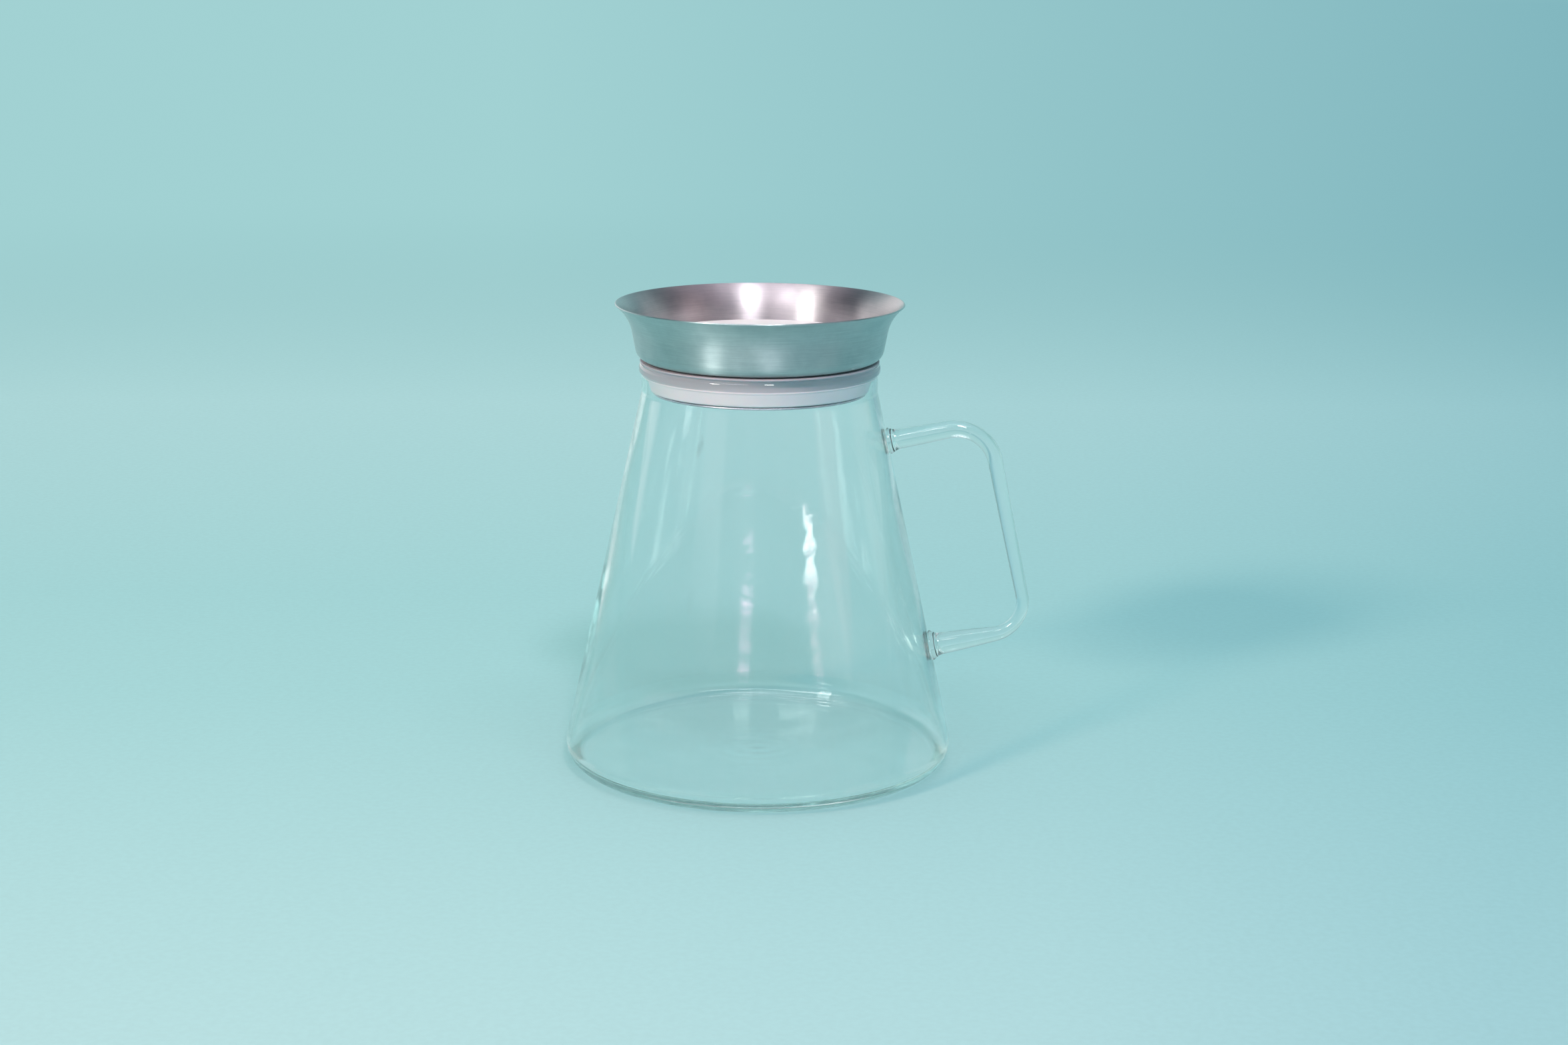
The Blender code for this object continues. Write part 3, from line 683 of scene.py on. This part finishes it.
# Table
# A pale aqua table that runs on without an edge. It is painted paler where it is far off, painted light that
# makes up for the lamps' falling light, and darker to the right, painted shade of the light from the left.
# Beyond the lamps' reach it is a lit backdrop to the camera, the steel and the glass.
TABLE_GAP = 0.0002
TABLE_REACH = 24.0
TABLE_TURNS = 128
EYE_ABOUT = 0.95
PLAIN_AQUA = (0.36, 0.63, 0.64)

reach = np.concatenate([np.linspace(0.0, 1.0, 21), np.geomspace(1.1, TABLE_REACH, 40)])
table_outline = np.column_stack([reach, np.full(len(reach), -TABLE_GAP)])[::-1]
table_mesh = turned_mesh("table", table_outline, TABLE_TURNS, False)
table_paint, tree, surface = start_material("table_paint")


def along(tree, place, direction):
    """How far a place lies along a fixed direction."""
    inputs = {0: place, 1: tuple(direction)}
    return add_node(tree, "VectorMath", inputs, operation="DOT_PRODUCT").outputs["Value"]


def seen_rays(tree, ray):
    """1 for rays from the camera, from a mirror and through glass, and 0 for those that only light things."""
    seen = reckon(tree, "MAXIMUM", ray["Is Camera Ray"], ray["Is Glossy Ray"])
    return reckon(tree, "MAXIMUM", seen, ray["Is Transmission Ray"])


place = add_node(tree, "TexCoord").outputs["Object"]
ray = add_node(tree, "LightPath").outputs
behind = along(tree, place, -towards_eye)
across = along(tree, place, level)
away = add_node(tree, "VectorMath", {0: place}, operation="LENGTH").outputs["Value"]
# Painted light: paler further back, where the lamps' light falls off.
paint = add_ramp(tree, share_of(tree, behind, -0.4, 1.2), [
    (0.0, (0.478, 0.738, 0.758)), (0.30, (0.433, 0.762, 0.776)),
    (0.40, (0.449, 0.785, 0.801)), (0.70, (0.638, 0.945, 0.963))])
# The fan is the way across for each step away from the camera, so its lines run out from under the eye.
eye_off = reckon(tree, "ADD", behind, EYE_ABOUT)
fan = reckon(tree, "DIVIDE", across, reckon(tree, "MAXIMUM", eye_off, 0.3))
side = share_of(tree, fan, -0.10, 0.30)
# Painted shade: darker to the right, as the light comes from the left.
fall = add_ramp(tree, side, [(0.0, (1.0, 1.0, 1.0)), (0.55, (0.95, 0.97, 0.985)), (1.0, (0.81, 0.89, 0.93))])
mottle = noise_of(tree, place, 400.0, 4.0)
grain = add_ramp(tree, mottle, [(0.35, (0.97, 0.97, 0.97)), (0.65, (1.0, 1.0, 1.0))])
colour = mix_tones(tree, 1.0, mix_tones(tree, 1.0, paint, fall, "MULTIPLY"), grain, "MULTIPLY")
paper = add_node(tree, "BsdfPrincipled", {"Base Color": colour, "Roughness": 0.9, "Specular IOR Level": 0.1})

# To the right, out of the camera's sight, is an unlit strip of table. It is there for rays that have crossed
# two glass faces, as through the solid rod of the handle, which shows it as a thin line along its edge.
aside = reckon(tree, "DIVIDE", behind, reckon(tree, "MAXIMUM", away, 0.01))
unlit = add_ramp(tree, share_of(tree, aside, -1.0, 1.0), [
    (0.46, (0.0, 0.0, 0.0)), (0.61, (0.0, 0.0, 0.0)), (0.63, (1.0, 1.0, 1.0)),
    (0.80, (1.0, 1.0, 1.0)), (0.86, (0.0, 0.0, 0.0))])
unlit = reckon(tree, "MULTIPLY", unlit, reckon(tree, "GREATER_THAN", across, 0.3))
through_rod = reckon(tree, "COMPARE", ray["Transmission Depth"], 2.0, 0.5)
unlit = reckon(tree, "MULTIPLY", unlit, through_rod)

# The far edge, the sides and what lies behind the camera are one plain aqua with the room.
far_edge = share_of(tree, away, 9.0, 20.0)
flanks = share_of(tree, reckon(tree, "ABSOLUTE", fan), 0.36, 1.0, kind="SMOOTHSTEP")
rear = share_of(tree, eye_off, 0.6, 0.2, kind="SMOOTHSTEP")
flanks = reckon(tree, "MAXIMUM", flanks, rear)
not_mirrored = reckon(tree, "LESS_THAN", ray["Glossy Depth"], 0.5)
flanks = reckon(tree, "MULTIPLY", flanks, not_mirrored)
# The backdrop's glow is darker to the right too: painted shade, as the light comes from the left.
backdrop = add_ramp(tree, side, [(0.0, (0.36, 0.64, 0.65)), (1.0, (0.22, 0.47, 0.52))])
backdrop = mix_tones(tree, reckon(tree, "MAXIMUM", far_edge, flanks), backdrop, PLAIN_AQUA)
backdrop = mix_tones(tree, unlit, backdrop, (0.21, 0.36, 0.38))
far = share_of(tree, away, 0.6, 2.0, kind="SMOOTHSTEP")
unlit_far = reckon(tree, "MULTIPLY", share_of(tree, away, 0.45, 0.7), unlit)
far = reckon(tree, "MAXIMUM", far, unlit_far)
glow = add_node(tree, "Emission", {"Color": backdrop, "Strength": 1.0})
shown = reckon(tree, "MULTIPLY", far, seen_rays(tree, ray))
ground = add_node(tree, "MixShader", {0: shown, 1: paper.outputs[0], 2: glow.outputs[0]})
tree.links.new(ground.outputs[0], surface)
table = bpy.data.objects.new("table", table_mesh)
table_mesh.materials.append(table_paint)
bpy.context.scene.collection.objects.link(table)


# Room
# Plain aqua to the camera. The steel and the glass mirror more of it: aqua low down and behind, greyish lilac
# in front, and pale boards and lamp images, some of them only for rays that the glass has mirrored before.
world = bpy.data.worlds.new("room")
world.use_nodes = True
bpy.context.scene.world = world
tree = world.node_tree
tree.nodes.clear()
look = add_node(tree, "TexCoord").outputs["Generated"]
ray = add_node(tree, "LightPath").outputs
before = along(tree, look, towards_eye)
rise = add_node(tree, "SeparateXYZ", {"Vector": look}).outputs["Z"]
facing = share_of(tree, before, -1.0, 1.0)
walls = add_ramp(tree, facing, [
    (0.0, (0.40, 0.68, 0.69)), (0.05, (0.35, 0.61, 0.63)), (0.15, (0.22, 0.38, 0.42)),
    (0.32, (0.10, 0.11, 0.14)), (0.50, (0.10, 0.09, 0.11)), (0.67, (0.13, 0.11, 0.13)),
    (0.82, (0.28, 0.23, 0.28)), (1.0, (0.31, 0.26, 0.32))])
walls_in_glass = add_ramp(tree, facing, [
    (0.0, (0.40, 0.68, 0.69)), (0.15, (0.37, 0.60, 0.61)), (0.50, (0.31, 0.48, 0.49)),
    (1.0, (0.32, 0.48, 0.50))])
sweep = add_ramp(tree, facing, [
    (0.0, (0.38, 0.66, 0.67)), (0.6, (0.33, 0.52, 0.54)), (1.0, (0.36, 0.40, 0.45))])
mirrored = reckon(tree, "MINIMUM", ray["Glossy Depth"], 1.0)
in_glass = reckon(tree, "MINIMUM", ray["Transmission Depth"], 1.0)
sweep = mix_tones(tree, mirrored, PLAIN_AQUA, sweep)
walls = mix_tones(tree, in_glass, walls, walls_in_glass)
horizon = mix_tones(tree, share_of(tree, rise, 0.08, 0.26), sweep, walls)
bare = mix_tones(tree, share_of(tree, rise, 0.70, 0.97), horizon, (0.80, 0.70, 0.84))


def heading(sideways, elevation):
    """The direction that is sideways degrees to the right of the camera's side, as seen, and elevation up."""
    angle = np.arctan2(towards_eye[1], towards_eye[0]) + np.radians(sideways)
    rise = np.radians(elevation)
    return np.array([np.cos(rise) * np.cos(angle), np.cos(rise) * np.sin(angle), np.sin(rise)])


# Round pale patches, which like the boards after them show only to rays that have been mirrored.
room = bare
for sideways, elevation, spread, colour in (
        (65.0, 17.0, 13.0, (0.85, 0.64, 0.66)), (-113.0, 17.0, 11.0, (0.95, 0.94, 0.94)),
        (-55.0, 38.0, 13.0, (1.10, 1.05, 1.03)), (-55.0, 50.0, 13.0, (1.10, 1.05, 1.03))):
    towards = along(tree, look, heading(sideways, elevation))
    edge, core = np.cos(np.radians(spread)), np.cos(np.radians(0.9 * spread))
    room = mix_tones(tree, share_of(tree, towards, edge, core, kind="SMOOTHSTEP"), room, colour)

to_right = along(tree, look, heading(90.0, 0.0))
turned = reckon(tree, "DEGREES", reckon(tree, "ARCTAN2", to_right, before))
raised = reckon(tree, "DEGREES", reckon(tree, "ARCSINE", rise))


def window(value, low, high, soft):
    """1 between low and high degrees, 0 outside them, with edges that take so many degrees each way."""
    opens = share_of(tree, value, low - soft, low + soft, kind="SMOOTHSTEP")
    shuts = share_of(tree, value, high + soft, high - soft, kind="SMOOTHSTEP")
    return reckon(tree, "MULTIPLY", opens, shuts)


def add_board(room, sides, heights, soft, colour, only=None):
    """The room with one more upright board, from heading to heading and from height to height in degrees.
    Soft is half its edge, sideways and upwards. Only is 1 for the rays that see it."""
    board = reckon(tree, "MULTIPLY", window(turned, *sides, soft[0]), window(raised, *heights, soft[1]))
    if only:
        board = reckon(tree, "MULTIPLY", board, only)
    return mix_tones(tree, board, room, colour)


# A low and a high window in front of the jug on the left, and pale walls at its sides, which line its edges.
room = add_board(room, (-52.0, -31.0), (8.5, 18.0), (1.5, 1.5), (0.86, 0.83, 0.87))
room = add_board(room, (-41.0, -26.0), (46.0, 62.0), (1.5, 1.5), (4.0, 3.8, 4.0))
room = add_board(room, (-172.0, -112.0), (-6.0, 24.0), (2.0, 2.0), (1.15, 1.15, 1.15))
room = add_board(room, (97.0, 132.0), (-6.0, 24.0), (2.0, 2.0), (0.58, 0.72, 0.73))
# To rays mirrored once inside the glass the lamps are longer, which draws their images out along the heel.
once = reckon(tree, "COMPARE", ray["Glossy Depth"], 1.0, 0.5)
through_wall = reckon(tree, "GREATER_THAN", ray["Transmission Depth"], 1.5)
once = reckon(tree, "MULTIPLY", once, through_wall)
room = add_board(room, (-32.0, 42.0), (34.0, 46.0), (2.0, 2.0), (8.0, 7.5, 8.0), once)
room = add_board(room, (-60.0, -34.0), (33.0, 52.0), (2.0, 2.0), (24.0, 22.0, 23.0), once)
# The lamps' images, low enough for rays that two glass faces have mirrored, and shown to those rays alone.
twice = reckon(tree, "GREATER_THAN", ray["Glossy Depth"], 1.5)
room = add_board(room, (-47.6, -41.6), (35.4, 39.8), (0.8, 0.7), (4.6, 2.8, 3.1), twice)
room = add_board(room, (6.5, 15.0), (39.4, 40.7), (2.5, 0.3), (10.0, 5.2, 7.2), twice)
room = mix_tones(tree, mirrored, bare, room)
room = mix_tones(tree, ray["Is Camera Ray"], room, PLAIN_AQUA)
shown = add_node(tree, "Background", {"Color": room, "Strength": 1.0})
fill = add_node(tree, "Background", {"Color": (0.67, 0.984, 1.0, 1.0), "Strength": 0.52})
mixed = add_node(tree, "MixShader", {0: seen_rays(tree, ray), 1: fill.outputs[0], 2: shown.outputs[0]})
tree.links.new(mixed.outputs[0], add_node(tree, "OutputWorld").inputs["Surface"])


# Lamps
# Two soft boxes light the jug from the left and from above on the right. Each has a taller twin that only the
# steel and the glass mirror, and a slim box and a strip overhead add narrow highlights.
AIM_HEIGHT = 0.1


def add_lamp(name, sideways, elevation, distance, width, tall, watts, colour, lights, mirrored):
    """A soft box aimed at the jug from a heading. It lights matt things, shows in the steel and glass, or
    both."""
    aim = heading(sideways, elevation)
    across = np.array([-aim[1], aim[0], 0.0]) / np.hypot(aim[0], aim[1])
    stand = np.eye(4)
    stand[:3, 0] = across
    stand[:3, 1] = np.cross(aim, across)
    stand[:3, 2] = aim
    stand[:3, 3] = aim * distance + [0.0, 0.0, AIM_HEIGHT]
    light = bpy.data.lights.new(name, "AREA")
    light.shape = "RECTANGLE"
    light.size = width
    light.size_y = tall
    light.energy = watts
    light.color = colour
    lamp = bpy.data.objects.new(name, light)
    lamp.matrix_world = stand.T
    lamp.visible_diffuse = lights
    lamp.visible_glossy = mirrored
    lamp.visible_transmission = mirrored
    bpy.context.scene.collection.objects.link(lamp)


add_lamp("left_box", -45.5, 29.5, 2.5, 0.33, 0.33, 31.4, (1.0, 0.62, 0.50), lights=True, mirrored=False)
add_lamp("left_glare", -45.5, 27.0, 2.5, 0.34, 0.66, 25.0, (1.0, 0.97, 0.95), lights=False, mirrored=True)
add_lamp("right_box", 11.0, 49.0, 1.5, 0.16, 0.22, 6.6, (1.0, 0.70, 0.78), lights=True, mirrored=False)
add_lamp("right_glare", 11.0, 51.5, 1.5, 0.19, 0.40, 9.5, (1.0, 0.96, 1.0), lights=False, mirrored=True)
add_lamp("slim_box", -26.0, 46.5, 2.0, 0.60, 0.11, 5.0, (1.0, 0.93, 0.97), lights=False, mirrored=True)
add_lamp("top_strip", 0.0, 72.0, 1.5, 1.3, 0.05, 3.2, (1.0, 0.97, 1.0), lights=True, mirrored=True)

bpy.context.scene.view_settings.view_transform = "Standard"
